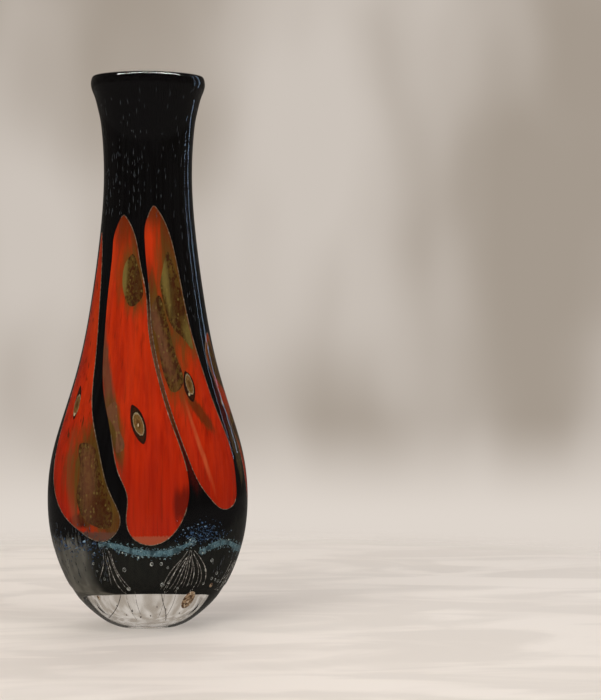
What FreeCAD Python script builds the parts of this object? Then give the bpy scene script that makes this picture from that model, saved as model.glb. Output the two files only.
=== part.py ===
import FreeCAD, Part
import math
import os

# A hand blown, cased glass vase with an oval section. Millimetres, +Z up, origin in the
# middle of the foot, the wide side along X and the front towards -Y.
# Angles round the vase are measured from the front (0) towards +X (90).

# Stations up the vase: name, height, half width along X, half width along Y,
# clear glass over the colour, whole wall. The first four are below the hollow's wall.
STATIONS = (
    ("foot", 0, 15, 12, 0, 0),
    ("heel", 3, 22.5, 17.8, 0, 0),
    ("bowl", 8, 29.3, 25.8, 0, 0),
    ("base", 16, 37.7, 29.3, 0, 0),
    ("belly_foot", 30, 46.2, 32.4, 6.5, 10.5),
    ("belly_low", 48, 52.4, 33.4, 5.0, 8.5),
    ("belly", 68, 54.6, 33.3, 4.0, 7.2),
    ("belly_high", 92, 52.6, 32.0, 3.6, 6.6),
    ("shoulder_low", 118, 45.2, 29.0, 3.4, 6.2),
    ("shoulder", 145, 37.2, 26.1, 3.2, 5.9),
    ("shoulder_high", 175, 31.3, 23.0, 3.0, 5.6),
    ("neck_low", 210, 26.5, 20.3, 2.8, 5.2),
    ("neck", 245, 24.0, 19.1, 2.6, 4.9),
    ("neck_high", 270, 25.1, 20.3, 2.5, 4.7),
    ("flare", 288, 28.8, 24.2, 2.2, 4.3),
    ("lip_edge", 296, 31.2, 25.9, 2.0, 4.0),
    ("lip", 300, 28.9, 23.6, 0.7, 2.0),
)
FIRST_WALL_STATION = 4

# The rounded floor of each inner layer, between its middle and the first wall station:
# share of the height, share of the half widths.
FLOOR_TURN = (("middle", 0.0, 0.6), ("ring", 0.16, 0.78), ("rise", 0.5, 0.925))

SIZES = {
    "colour_floor": 21.3,    # underside of the colour coat, above the foot
    "gather_floor": 22.3,    # underside of the gather
    "hollow_floor": 26.5,    # floor of the hollow
    "colour_coat": 1.0,      # thickness of the coat that petals, trail and frit are let into
    "overlay_edge": 50.5,    # height where the black overlay ends and the smoke coat begins
    "cutter_reach": 70,      # how far a cutter stands out from the axis, past the glass
    "trail_height": 3.0,
}

# Petals: facing angle of the cutter, then the outline as (angle round the vase, height).
PETALS = {
    "petal_left": (-60, [
        (-83, 214), (-77, 204), (-71, 182), (-64, 148), (-58, 118), (-48, 98), (-36, 74),
        (-29, 56), (-42, 49), (-61, 54), (-73, 63), (-81, 77), (-84, 95), (-86, 124),
        (-87, 150), (-87, 180), (-86, 204)]),
    "petal_front": (0, [
        (-39, 223), (-22, 212), (-12, 196), (-3, 181), (0, 164), (10, 140), (25, 113),
        (36, 92), (39, 72), (31, 57), (17, 49), (0, 47), (-16, 51), (-22, 60), (-21, 73),
        (-29, 84), (-38, 104), (-50, 129), (-56, 156), (-58, 182), (-57, 205), (-50, 219)]),
    "petal_right_front": (38, [
        (13, 228), (30, 219), (42, 205), (50, 184), (57, 160), (64, 140), (70, 117),
        (75, 96), (76, 79), (73, 67), (66, 65), (57, 70), (48, 79), (40, 92), (29, 113),
        (15, 139), (5, 163), (2, 182), (-4, 204), (-5, 216), (2, 224)]),
    "petal_right": (98, [
        (80, 159), (73, 151), (76, 135), (80, 119), (84, 99), (86, 84), (92, 67), (107, 57),
        (122, 64), (130, 82), (123, 96), (112, 111), (98, 130), (88, 147)]),
    "petal_right_back": (142, [
        (106, 228), (120, 224), (136, 213), (150, 194), (162, 172), (170, 150), (175, 127),
        (177, 103), (175, 80), (167, 63), (154, 56), (142, 63), (135, 78), (134, 92),
        (138, 106), (144, 120), (147, 134), (140, 147), (130, 166), (121, 186), (110, 208),
        (104, 220)]),
    "petal_back": (-148, [
        (-146, 225), (-134, 214), (-128, 195), (-124, 170), (-121, 148), (-118, 126),
        (-117, 102), (-121, 79), (-132, 61), (-148, 52), (-163, 57), (-171, 72), (-172, 92),
        (-173, 112), (-177, 132), (-180, 152), (-179, 176), (-170, 196), (-157, 213)]),
    "petal_left_back": (-102, [
        (-104, 215), (-98, 203), (-96, 180), (-95, 150), (-93, 125), (-93, 102), (-93, 84),
        (-95, 67), (-102, 57), (-109, 61), (-112, 76), (-111, 95), (-112, 115), (-115, 135),
        (-117, 155), (-118, 177), (-113, 199)]),
}

# Olive and aventurine chips, each let into one petal.
CHIPS = {
    "olive_left": ("petal_left", [
        (-60, 101), (-52, 99), (-47, 90), (-40, 76), (-34, 62), (-38, 56), (-50, 57),
        (-59, 63), (-62, 75), (-61, 90)]),
    "olive_front_tip": ("petal_front", [
        (-27, 202), (-36, 197), (-39, 189), (-35, 180), (-24, 174), (-15, 176), (-8, 180),
        (-11, 189), (-18, 198)]),
    "olive_front_strip": ("petal_front", [
        (-43, 121), (-38, 123), (-32, 110), (-27, 97), (-30, 96), (-35, 108)]),
    "olive_right_front": ("petal_right_front", [
        (34, 203), (41, 196), (47, 186), (52, 173), (56, 159), (56, 151), (46, 157),
        (37, 161), (29, 167), (24, 175), (19, 185), (24, 195)]),
    "olive_right_band": ("petal_right_front", [
        (8, 176), (17, 180), (23, 173), (28, 164), (33, 153), (38, 144), (42, 137),
        (38, 130), (30, 128), (23, 133), (16, 146), (10, 160)]),
    "olive_right_top": ("petal_right", [
        (80, 155), (76, 149), (79, 136), (92, 129), (96, 130), (87, 145)]),
    "olive_right_streak": ("petal_right", [
        (83, 113), (87, 116), (93, 110), (99, 92), (107, 74), (113, 64), (106, 60), (98, 72),
        (91, 90), (85, 103)]),
    "olive_right_back": ("petal_right_back", [
        (124, 204), (135, 203), (146, 190), (156, 170), (150, 160), (139, 166), (130, 182)]),
    "olive_back": ("petal_back", [
        (-148, 208), (-139, 203), (-134, 186), (-133, 168), (-146, 162), (-158, 172),
        (-156, 192)]),
    "olive_left_back": ("petal_left_back", [
        (-106, 132), (-101, 127), (-98, 108), (-97, 88), (-101, 80), (-105, 92), (-107, 112)]),
}

# Murrine: petal, angle, height, half width, half height, and a lean of its long axis.
MURRINE = {
    "murrina_left": ("petal_left", -74, 122, 2.0, 9.0, 0),
    "murrina_front": ("petal_front", -11, 111, 3.7, 10.8, 15),
    "murrina_right_front": ("petal_right_front", 47.5, 131, 3.0, 8.3, 8),
    "murrina_right": ("petal_right", 99, 103, 2.7, 5.8, 4),
    "murrina_right_back": ("petal_right_back", 157, 118, 2.8, 8.0, -6),
    "murrina_back": ("petal_back", -148, 116, 3.2, 9.0, -8),
}

# Strokes of the blue trail: facing angle of the cutter, then its middle line.
TRAIL = {
    "trail_front": (0, [(-43, 48), (-30, 46), (-17, 43.8), (4, 42.6), (27, 43.6), (43, 48.5)]),
    "trail_right": (86, [(53, 44), (66, 47), (79, 45), (94, 43), (105, 43), (118, 46)]),
    "trail_back": (180, [(146, 47), (160, 44), (180, 42.6), (200, 43.4), (216, 47)]),
}

# Clouds of crushed glass: facing angle, middle height, spread in angle and height, chips.
FRIT = {
    "frit_right": (49, 54, 13, 5.5, 14),
    "frit_left": (-64, 46.5, 15, 4.5, 10),
}
FRIT_SIZE = 1.1
SEAM_ANGLE = 180             # the layers' seam lies at -X, in the black between two petals
GOLDEN_ANGLE = math.radians(137.5)

doc = FreeCAD.newDocument("ArtGlassVase")
sheet = doc.addObject("Spreadsheet::Sheet", "Sizes")
parts = {}


def fill_sheet():
    """Write every driving size into the sheet, each with its alias."""
    sizes = dict(SIZES)
    for name, height, wide, narrow, cover, wall in STATIONS:
        sizes[name + "_height"] = height
        sizes[name + "_wide"] = wide
        sizes[name + "_narrow"] = narrow
        sizes[name + "_cover"] = cover
        sizes[name + "_wall"] = wall
    for row, (alias, value) in enumerate(sizes.items(), start=1):
        sheet.set("A%d" % row, alias)
        sheet.set("B%d" % row, str(value))
        sheet.setAlias("B%d" % row, alias)
    doc.recompute()


def add_ellipse(name, height, wide, narrow):
    """One level section of a layer, from three expressions."""
    ellipse = doc.addObject("Part::Ellipse", name)
    ellipse.Placement = FreeCAD.Placement(
        FreeCAD.Vector(0, 0, 0), FreeCAD.Rotation(FreeCAD.Vector(0, 0, 1), SEAM_ANGLE))
    ellipse.setExpression("MajorRadius", wide)
    ellipse.setExpression("MinorRadius", narrow)
    ellipse.setExpression("Placement.Base.z", height)
    return ellipse


def add_loft(name, sections):
    loft = doc.addObject("Part::Loft", name)
    loft.Sections = sections
    loft.Solid = True
    loft.Ruled = False
    return loft


def outer_loft():
    """The outside of the clear casing, solid from foot to lip."""
    sections = []
    for name, *_ in STATIONS:
        cell = "Sizes." + name
        sections.append(add_ellipse(
            "outer_" + name, cell + "_height", cell + "_wide", cell + "_narrow"))
    return add_loft("outer_form", sections)


def inner_loft(layer, floor, depth):
    """A layer inside the casing: depth is an expression for how far in it lies."""
    first = "Sizes." + STATIONS[FIRST_WALL_STATION][0]
    first_wide = "(%s_wide - (%s))" % (first, depth.format(first))
    first_narrow = "(%s_narrow - (%s))" % (first, depth.format(first))
    sections = []
    for turn, rise, share in FLOOR_TURN:
        sections.append(add_ellipse(
            "%s_floor_%s" % (layer, turn),
            "Sizes.%s + %s * (%s_height - Sizes.%s)" % (floor, rise, first, floor),
            "%s * %s" % (share, first_wide),
            "%s * %s" % (share, first_narrow)))
    for name, *_ in STATIONS[FIRST_WALL_STATION:]:
        cell = "Sizes." + name
        sections.append(add_ellipse(
            "%s_%s" % (layer, name), cell + "_height",
            "%s_wide - (%s)" % (cell, depth.format(cell)),
            "%s_narrow - (%s)" % (cell, depth.format(cell))))
    return add_loft(layer + "_form", sections)


def boolean(kind, name, base, tool):
    result = doc.addObject("Part::" + kind, name)
    result.Base = base
    result.Tool = tool
    return result


def keep(name, piece):
    """Give a finished piece of glass its own label and list it for export."""
    piece.Label = name
    parts[name] = piece


def colour_radius(angle, height):
    """Distance from the axis to the outside of the colour coat."""
    rows = [row[1:5] for row in STATIONS[FIRST_WALL_STATION:]]
    for low, high in zip(rows, rows[1:]):
        if height <= high[0]:
            break
    share = (height - low[0]) / (high[0] - low[0])
    wide, narrow, cover = (low[i] + share * (high[i] - low[i]) for i in (1, 2, 3))
    along_x = math.sin(math.radians(angle)) / (wide - cover)
    along_y = math.cos(math.radians(angle)) / (narrow - cover)
    return 1 / math.hypot(along_x, along_y)


def on_plane(facing, angle, height):
    """A place on the colour coat, seen square on from the facing angle."""
    side = colour_radius(angle, height) * math.sin(math.radians(angle - facing))
    return FreeCAD.Vector(side, height, 0)


def smooth_loop(points):
    curve = Part.BSplineCurve()
    curve.interpolate(points, PeriodicFlag=True)
    return [curve]


def straight_loop(points):
    return [Part.LineSegment(a, b) for a, b in zip(points, points[1:] + points[:1])]


def add_cutter(name, facing, loops):
    """A prism that stands out from the axis at the facing angle and cuts the colour coat."""
    body = doc.addObject("PartDesign::Body", name + "_cutter")
    body.AllowCompound = True
    plane = [f for f in body.Origin.OriginFeatures if f.Role == "XZ_Plane"][0]
    sketch = body.newObject("Sketcher::SketchObject", name + "_outline")
    sketch.AttachmentSupport = [(plane, "")]
    sketch.MapMode = "FlatFace"
    for loop in loops:
        sketch.addGeometry(loop, False)
    pad = body.newObject("PartDesign::Pad", name + "_pad")
    pad.Profile = sketch
    pad.setExpression("Length", "Sizes.cutter_reach")
    body.Placement = FreeCAD.Placement(
        FreeCAD.Vector(0, 0, 0), FreeCAD.Rotation(FreeCAD.Vector(0, 0, 1), facing))
    return body


def murrina_loop(facing, angle, height, half_width, half_height, lean):
    """A cane slice drawn out to a leaf: a loop that is pointed above and below."""
    middle = on_plane(facing, angle, height)
    points = []
    for step in range(8):
        turn = math.radians(45 * step)
        side = half_width * math.sin(turn) * (1 - 0.25 * math.cos(turn) ** 2)
        rise = half_height * math.cos(turn)
        tilt = math.radians(lean)
        points.append(middle + FreeCAD.Vector(
            side * math.cos(tilt) - rise * math.sin(tilt),
            side * math.sin(tilt) + rise * math.cos(tilt), 0))
    return smooth_loop(points)


def trail_loop(facing, line):
    """A stroke of constant height along its middle line, with rounded ends."""
    half = FreeCAD.Vector(0, SIZES["trail_height"] / 2, 0)
    middle = [on_plane(facing, angle, height) for angle, height in line]
    above = [p + half for p in middle[1:-1]]
    below = [p - half for p in middle[1:-1]]
    return smooth_loop([middle[0]] + above + [middle[-1]] + below[::-1])


def frit_loops(facing, height, spread_angle, spread_height, count):
    """Small three-cornered chips, scattered evenly over an oval cloud."""
    loops = []
    for chip in range(count):
        out = math.sqrt((chip + 0.5) / count)
        angle = facing + spread_angle * out * math.cos(chip * GOLDEN_ANGLE)
        level = height + spread_height * out * math.sin(chip * GOLDEN_ANGLE)
        middle = on_plane(facing, angle, level)
        size = FRIT_SIZE * (0.7 + 0.3 * math.sin(5 * chip))
        loops.append(straight_loop([
            middle + FreeCAD.Vector(
                size * math.cos(chip + math.radians(120 * corner)),
                size * math.sin(chip + math.radians(120 * corner)), 0)
            for corner in range(3)]))
    return loops


def build_layers():
    outer = outer_loft()
    colour = inner_loft("colour", "colour_floor", "{0}_cover")
    gather = inner_loft("gather", "gather_floor", "{0}_cover + Sizes.colour_coat")
    hollow = inner_loft("hollow", "hollow_floor", "{0}_wall")
    keep("clear_casing", boolean("Cut", "clear_casing", outer, colour))
    keep("inner_gather", boolean("Cut", "inner_gather", gather, hollow))
    coat = boolean("Cut", "colour_coat", colour, gather)
    below = doc.addObject("Part::Box", "below_overlay")
    for side in ("Length", "Width"):
        below.setExpression(side, "2 * Sizes.cutter_reach")
    below.setExpression("Height", "Sizes.overlay_edge")
    below.setExpression("Placement.Base.x", "-Sizes.cutter_reach")
    below.setExpression("Placement.Base.y", "-Sizes.cutter_reach")
    smoke = boolean("Common", "smoke_coat_whole", coat, below)
    black = boolean("Cut", "black_overlay_whole", coat, below)
    return coat, smoke, black


def build_petals(coat):
    """Each petal is cut out of the coat, then its chips and murrine out of the petal."""
    cutters = []
    for name, (facing, outline) in PETALS.items():
        points = [on_plane(facing, angle, height) for angle, height in outline]
        cutter = add_cutter(name, facing, [smooth_loop(points)])
        cutters.append(cutter)
        petal = boolean("Common", name + "_whole", coat, cutter)
        inlays = {}
        for chip, (owner, chip_outline) in CHIPS.items():
            if owner == name:
                chip_points = [on_plane(facing, angle, height) for angle, height in chip_outline]
                inlays[chip] = [smooth_loop(chip_points)]
        for murrina, (owner, *form) in MURRINE.items():
            if owner == name:
                inlays[murrina] = [murrina_loop(facing, *form)]
        for inlay, loops in inlays.items():
            inlay_cutter = add_cutter(inlay, facing, loops)
            keep(inlay, boolean("Common", inlay, petal, inlay_cutter))
            petal = boolean("Cut", "%s_less_%s" % (name, inlay), petal, inlay_cutter)
        keep(name, petal)
    return cutters


def build_trail_and_frit(coat):
    cutters = []
    for name, (facing, line) in TRAIL.items():
        cutters.append(add_cutter(name, facing, [trail_loop(facing, line)]))
        keep(name, boolean("Common", name, coat, cutters[-1]))
    for name, cloud in FRIT.items():
        cutters.append(add_cutter(name, cloud[0], frit_loops(*cloud)))
        keep(name, boolean("Common", name, coat, cutters[-1]))
    return cutters


def cut_away(name, layer, cutters):
    """The rest of a layer, once everything let into it is cut away."""
    for number, cutter in enumerate(cutters):
        layer = boolean("Cut", "%s_cut_%d" % (name, number), layer, cutter)
    keep(name, layer)


def check_document():
    doc.recompute()
    for item in doc.Objects:
        if "Invalid" in item.State or "Error" in item.State:
            raise RuntimeError("%s failed: %s" % (item.Name, item.State))
    for name, piece in parts.items():
        if piece.Shape.isNull() or not piece.Shape.isValid():
            raise RuntimeError("%s has no valid shape" % name)
        if not piece.Shape.Solids:
            raise RuntimeError("%s holds no solid" % name)


def export_parts():
    os.makedirs("parts", exist_ok=True)
    for name, piece in parts.items():
        piece.Shape.exportStep("parts/%s.step" % name)
        print("%-22s %2d solids %9.1f mm3" % (name, len(piece.Shape.Solids), piece.Shape.Volume))


fill_sheet()
coat, smoke, black = build_layers()
petal_cutters = build_petals(coat)
low_cutters = build_trail_and_frit(coat)
low_petals = [cutter for cutter, (facing, outline) in zip(petal_cutters, PETALS.values())
              if min(height for angle, height in outline) < SIZES["overlay_edge"]]
cut_away("black_overlay", black, petal_cutters + low_cutters)
cut_away("smoke_coat", smoke, low_petals + low_cutters)
check_document()
export_parts()
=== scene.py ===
import math
import random

import bmesh
import bpy
import numpy as np
from mathutils import Matrix, Vector
from mathutils.bvhtree import BVHTree


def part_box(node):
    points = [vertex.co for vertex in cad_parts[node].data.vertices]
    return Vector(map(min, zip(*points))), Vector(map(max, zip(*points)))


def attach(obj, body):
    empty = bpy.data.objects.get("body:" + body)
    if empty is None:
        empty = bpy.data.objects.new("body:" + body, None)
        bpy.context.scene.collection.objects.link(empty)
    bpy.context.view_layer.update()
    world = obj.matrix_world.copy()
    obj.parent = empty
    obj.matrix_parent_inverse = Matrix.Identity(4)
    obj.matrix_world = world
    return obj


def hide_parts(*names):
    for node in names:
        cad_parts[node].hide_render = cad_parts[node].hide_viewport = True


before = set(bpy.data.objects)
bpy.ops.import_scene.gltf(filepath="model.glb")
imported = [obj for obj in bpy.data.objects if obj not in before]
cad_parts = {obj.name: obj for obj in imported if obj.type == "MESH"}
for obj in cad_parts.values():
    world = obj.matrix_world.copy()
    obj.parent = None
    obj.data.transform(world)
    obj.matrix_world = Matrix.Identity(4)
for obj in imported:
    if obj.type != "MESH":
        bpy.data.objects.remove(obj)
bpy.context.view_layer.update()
mm = 0.001
print("frame loaded:", len(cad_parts), "nodes")


# reading the form of the vase from the frame

def nodeEdges(names):
    # the end points of all mesh edges of some nodes
    starts, ends = [], []
    for name in names:
        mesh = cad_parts[name].data
        places = np.empty(len(mesh.vertices) * 3)
        mesh.vertices.foreach_get("co", places)
        places = places.reshape(-1, 3)
        pairs = np.empty(len(mesh.edges) * 2, dtype=int)
        mesh.edges.foreach_get("vertices", pairs)
        pairs = pairs.reshape(-1, 2)
        starts.append(places[pairs[:, 0]])
        ends.append(places[pairs[:, 1]])
    return np.vstack(starts), np.vstack(ends)


def sliceAt(edges, height):
    start, end = edges
    rise = end[:, 2] - start[:, 2]
    crosses = ((start[:, 2] - height) * (end[:, 2] - height) <= 0) & (abs(rise) > 1e-9)
    share = (height - start[crosses, 2]) / rise[crosses]
    return start[crosses] + share[:, None] * (end[crosses] - start[crosses])


def halfWidths(edges, heights, within=None):
    # half widths along X and Y at each height; within keeps only what lies inside other half widths
    found = []
    for index, height in enumerate(heights):
        points = abs(sliceAt(edges, height)[:, :2])
        if within is not None:
            share = (points / within[index]) ** 2
            points = points[share.sum(axis=1) < 1]
        found.append(points.max(axis=0))
    found = np.array(found)
    smooth = found.copy()
    smooth[2:-2] = (found[1:-3] + 2 * found[2:-2] + found[3:-1]) / 4
    return smooth


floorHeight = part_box("smoke_coat")[0][2]
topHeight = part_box("clear_casing")[1][2]
formHeights = np.concatenate([
    mm * np.array([0.5, 1.2, 2.1, 3.2, 4.6, 6.4, 8.5, 11, 14, 17.5]),
    floorHeight + mm * np.array([0.4, 1.3, 2.5, 4.1, 6.3, 9.4]),
    np.arange(floorHeight + 13.4 * mm, topHeight - 14 * mm, 4.5 * mm),
    topHeight - mm * np.array([11.5, 9, 6.8, 4.8])])
coatNodes = ["black_overlay", "smoke_coat"] + [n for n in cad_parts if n.startswith("petal_")]
outerForm = halfWidths(nodeEdges(["clear_casing"]), formHeights)
aboveFloor = formHeights > floorHeight
coatHeights = formHeights[aboveFloor]
coatForm = halfWidths(nodeEdges(coatNodes), coatHeights)
hollowFloor = floorHeight + 5.6 * mm
aboveHollow = coatHeights > hollowFloor
hollowHeights = coatHeights[aboveHollow]
hollowForm = halfWidths(nodeEdges(["inner_gather"]), hollowHeights, coatForm[aboveHollow] - 1.45 * mm)
print("form read:", len(formHeights), "heights")


def wallPoint(heights, form, angle, height, lift=0.0):
    # a place on one of the forms, angle in degrees from the front towards +X, lifted outwards
    wide = np.interp(height, heights, form[:, 0]) + lift
    narrow = np.interp(height, heights, form[:, 1]) + lift
    turn = math.radians(angle)
    reach = 1 / math.hypot(math.sin(turn) / wide, math.cos(turn) / narrow)
    return Vector((reach * math.sin(turn), -reach * math.cos(turn), height))


def coatPoint(angle, height, lift=0.0):
    return wallPoint(coatHeights, coatForm, angle, height, lift)


def outerPoint(angle, height, lift=0.0):
    return wallPoint(formHeights, outerForm, angle, height, lift)


# modelling helpers

def deselectAll():
    if bpy.context.mode != "OBJECT":
        bpy.ops.object.mode_set(mode="OBJECT")
    bpy.ops.object.select_all(action="DESELECT")


def makeActive(piece):
    deselectAll()
    piece.select_set(True)
    bpy.context.view_layer.objects.active = piece


def applyAll(piece):
    makeActive(piece)
    bpy.ops.object.transform_apply(location=True, rotation=True, scale=True)
    for modifier in list(piece.modifiers):
        bpy.ops.object.modifier_apply(modifier=modifier.name)


def editAll():
    bpy.ops.object.mode_set(mode="EDIT")
    bpy.ops.mesh.select_all(action="SELECT")


def mergeCorners(reach):
    editAll()
    bpy.ops.mesh.remove_doubles(threshold=reach)
    bpy.ops.object.mode_set(mode="OBJECT")


def rename(piece, name):
    piece.name = name
    piece.data.name = name
    return piece


def drawVessel(name, rings, segments=96, capped=True):
    # one oval ring after another, extruded and scaled: rings are (height, half width X, half width Y)
    deselectAll()
    height, wide, narrow = rings[0]
    bpy.ops.mesh.primitive_circle_add(
        vertices=segments, radius=1, fill_type="NGON" if capped else "NOTHING",
        location=(0, 0, height))
    piece = rename(bpy.context.object, name)
    piece.scale = (wide, narrow, 1)
    bpy.ops.object.transform_apply(location=True, rotation=True, scale=True)
    editAll()
    for nextHeight, nextWide, nextNarrow in rings[1:]:
        bpy.ops.mesh.extrude_region_move(
            TRANSFORM_OT_translate={"value": (0, 0, nextHeight - height)})
        bpy.ops.transform.resize(
            value=(nextWide / wide, nextNarrow / narrow, 1), center_override=(0, 0, nextHeight))
        height, wide, narrow = nextHeight, nextWide, nextNarrow
    if not capped:  # a sleeve: the last ring is joined to the first
        bpy.ops.mesh.select_all(action="DESELECT")
        bpy.ops.mesh.select_non_manifold()
        bpy.ops.mesh.bridge_edge_loops()
    bpy.ops.mesh.select_all(action="SELECT")
    bpy.ops.mesh.normals_make_consistent(inside=False)
    bpy.ops.object.mode_set(mode="OBJECT")
    bpy.ops.object.shade_smooth()
    return piece


def finishVessel(piece, body, *nodes):
    smoother = piece.modifiers.new("Smoother", "SUBSURF")
    smoother.levels = 1
    smoother.render_levels = 1
    applyAll(piece)
    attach(piece, body)
    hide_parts(*nodes)


def wallRings(heights, form, inset, lower=0.0):
    return [(h + lower, w - inset, n - inset) for h, (w, n) in zip(heights, form)]


def lipRings(base, top, crown):
    # a rounded shoulder from a wall ring up to the crown ring
    rings = []
    steps = 5
    for step in range(1, steps + 1):
        turn = math.radians(90 * step / steps)
        rings.append((
            base[0] + (top - base[0]) * math.sin(turn),
            crown[0] + (base[1] - crown[0]) * math.cos(turn),
            crown[1] + (base[2] - crown[1]) * math.cos(turn)))
    return rings


# clear casing: the last gather, thick at the base, over the lip

casing = {
    "footDimple": 0.35 * mm,     # the ground foot is a little hollow in the middle
    "hiddenDepth": 0.45 * mm,    # its inner wall lies this deep inside the colour
    "lipCrown": (29.7 * mm, 24.4 * mm),
    "lipInner": (28.6 * mm, 23.3 * mm),
}
footWide, footNarrow = outerForm[0]
casingRings = [
    (casing["footDimple"], footWide * share, footNarrow * share) for share in (0.04, 0.3, 0.6, 0.8)]
casingRings += [(0.1 * mm, footWide * 0.88, footNarrow * 0.88), (0, footWide * 0.93, footNarrow * 0.93)]
casingRings += wallRings(formHeights, outerForm, 0)
casingRings += lipRings(casingRings[-1], topHeight, casing["lipCrown"])
casingRings.append((topHeight - 0.25 * mm, *casing["lipInner"]))
hidden = wallRings(coatHeights, coatForm, casing["hiddenDepth"], 0.3 * mm)
casingRings += [(topHeight - 1.6 * mm, hidden[-1][1] - 0.5 * mm, hidden[-1][2] - 0.5 * mm)]
casingRings += hidden[::-1]
casingRings += [(floorHeight + 0.5 * mm, hidden[0][1] * share, hidden[0][2] * share)
                for share in (0.6, 0.04)]
clearCasing = drawVessel("clearCasing", casingRings, segments=128)
finishVessel(clearCasing, "root", "clear_casing")
print("clear casing made")


# black overlay, smoke coat and inner gather: the opaque core

core = {
    "sink": 0.12 * mm,           # petals stand this little above the black
    "smokeSink": 0.16 * mm,      # and the smoke coat runs up inside the overlay's lower end
    "wall": 0.7 * mm,
    "join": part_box("smoke_coat")[1][2],
    "overlap": 1.2 * mm,
    "lipDrop": 0.45 * mm,
    "lipCrown": (28.0 * mm, 22.7 * mm),
}


def coatSpan(low, high):
    # the coat's heights and half widths from low to high, with both ends added
    within = (coatHeights > low) & (coatHeights < high)
    heights = np.concatenate([[low], coatHeights[within], [high]])
    form = np.array([[np.interp(h, coatHeights, coatForm[:, axis]) for axis in (0, 1)] for h in heights])
    return heights, form


overlayHeights, overlayForm = coatSpan(core["join"] - core["overlap"], coatHeights[-1])
outside = wallRings(overlayHeights, overlayForm, core["sink"])
inside = wallRings(overlayHeights, overlayForm, core["sink"] + core["wall"])
coreTop = topHeight - core["lipDrop"]
overlayRings = outside + lipRings(outside[-1], coreTop, core["lipCrown"]) + inside[::-1]
blackOverlay = drawVessel("blackOverlay", overlayRings, capped=False)
finishVessel(blackOverlay, "root", "black_overlay")

lowHeights, lowForm = coatSpan(floorHeight, core["join"])
smokeOut = wallRings(lowHeights[1:], lowForm[1:], core["smokeSink"])
smokeIn = wallRings(lowHeights[1:], lowForm[1:], core["smokeSink"] + core["wall"], 0.6 * mm)
smokeIn[-1] = (core["join"], smokeIn[-1][1], smokeIn[-1][2])
smokeRings = [(floorHeight, smokeOut[0][1] * share, smokeOut[0][2] * share)
              for share in (0.04, 0.5, 0.9)]
smokeRings += smokeOut + smokeIn[::-1]
smokeRings += [(floorHeight + 0.7 * mm, smokeIn[0][1] * share, smokeIn[0][2] * share)
               for share in (0.6, 0.04)]
smokeCoat = drawVessel("smokeCoat", smokeRings)
finishVessel(smokeCoat, "root", "smoke_coat")

gatherOut = wallRings(coatHeights, coatForm, 1.0 * mm, 0.8 * mm)[:-1]
gatherIn = wallRings(hollowHeights, hollowForm, 0)
gatherRings = [(floorHeight + 1.3 * mm, gatherOut[0][1] * share, gatherOut[0][2] * share)
               for share in (0.04, 0.6)]
gatherRings += gatherOut
for drop, spread in ((0.9, 0.7), (0.5, 0.3), (0.9, 0.05)):
    gatherRings.append((coreTop - drop * mm, gatherIn[-1][1] + spread * mm,
                        gatherIn[-1][2] + spread * mm))
gatherRings += gatherIn[::-1]
gatherRings += [(hollowFloor - 0.6 * mm, gatherIn[0][1] * share, gatherIn[0][2] * share)
                for share in (0.8, 0.4, 0.04)]
innerGather = drawVessel("innerGather", gatherRings)
finishVessel(innerGather, "root", "inner_gather")
print("core made")


# small inclusions: each shape is modelled once, and its copies are set along the walls

def placeOn(point, angle, height, lift, size, lean=0.0):
    # a placing on a wall: X runs round the vase, Y inwards and Z up the wall
    here = point(angle, height, lift)
    up = (point(angle, height + mm, lift) - here).normalized()
    around = (point(angle + 1, height, lift) - here).normalized()
    inward = up.cross(around)
    turned = Matrix((around, inward, up)).transposed().to_4x4()
    turned = turned @ Matrix.Rotation(lean, 4, "Y") @ Matrix.Diagonal((*size, 1))
    return Matrix.Translation(here) @ turned


def setCopies(pattern, name, places):
    # one copy of the pattern at each place, joined into one piece
    copies = []
    for place in places:
        single = pattern.copy()
        single.data = pattern.data.copy()
        bpy.context.collection.objects.link(single)
        single.matrix_world = place
        copies.append(single)
    bpy.data.objects.remove(pattern)
    makeActive(copies[0])
    for single in copies:
        single.select_set(True)
    bpy.ops.object.join()
    piece = rename(bpy.context.object, name)
    applyAll(piece)
    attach(piece, "root")
    return piece


def pushCorners(piece, chosen, step):
    # moves the corners whose places are chosen
    bpy.ops.object.mode_set(mode="EDIT")
    bpy.ops.mesh.select_all(action="DESELECT")
    bpy.ops.object.mode_set(mode="OBJECT")
    for corner in piece.data.vertices:
        corner.select = chosen(corner.co)
    bpy.ops.object.mode_set(mode="EDIT")
    bpy.ops.transform.translate(value=step)
    bpy.ops.object.mode_set(mode="OBJECT")


def makeSpindle():
    # a seed drawn out to a spindle, its upper end longer
    deselectAll()
    bpy.ops.mesh.primitive_uv_sphere_add(segments=6, ring_count=5, radius=1)
    spindle = bpy.context.object
    pushCorners(spindle, lambda spot: spot.z > 0.9, (0, 0, 0.6))
    bpy.ops.object.shade_smooth()
    return spindle


def makeChip():
    # a crumb of crushed glass: a squat four-sided cone with its base pushed askew
    deselectAll()
    bpy.ops.mesh.primitive_cone_add(vertices=4, radius1=1, radius2=0.35, depth=1.1)
    chip = bpy.context.object
    pushCorners(chip, lambda spot: spot.z < 0 and spot.x > 0.5, (0.35, 0.3, 0.25))
    return chip


def makeBubble():
    # a bubble drawn in a little towards the top
    deselectAll()
    bpy.ops.mesh.primitive_ico_sphere_add(subdivisions=3, radius=1)
    bubble = bpy.context.object
    for corner in bubble.data.vertices:
        corner.select = corner.co.z > 0.3
    bpy.ops.object.mode_set(mode="EDIT")
    bpy.ops.transform.resize(value=(0.85, 0.85, 1.25), center_override=(0, 0, 0.3))
    bpy.ops.object.mode_set(mode="OBJECT")
    bpy.ops.object.shade_smooth()
    return bubble


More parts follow.
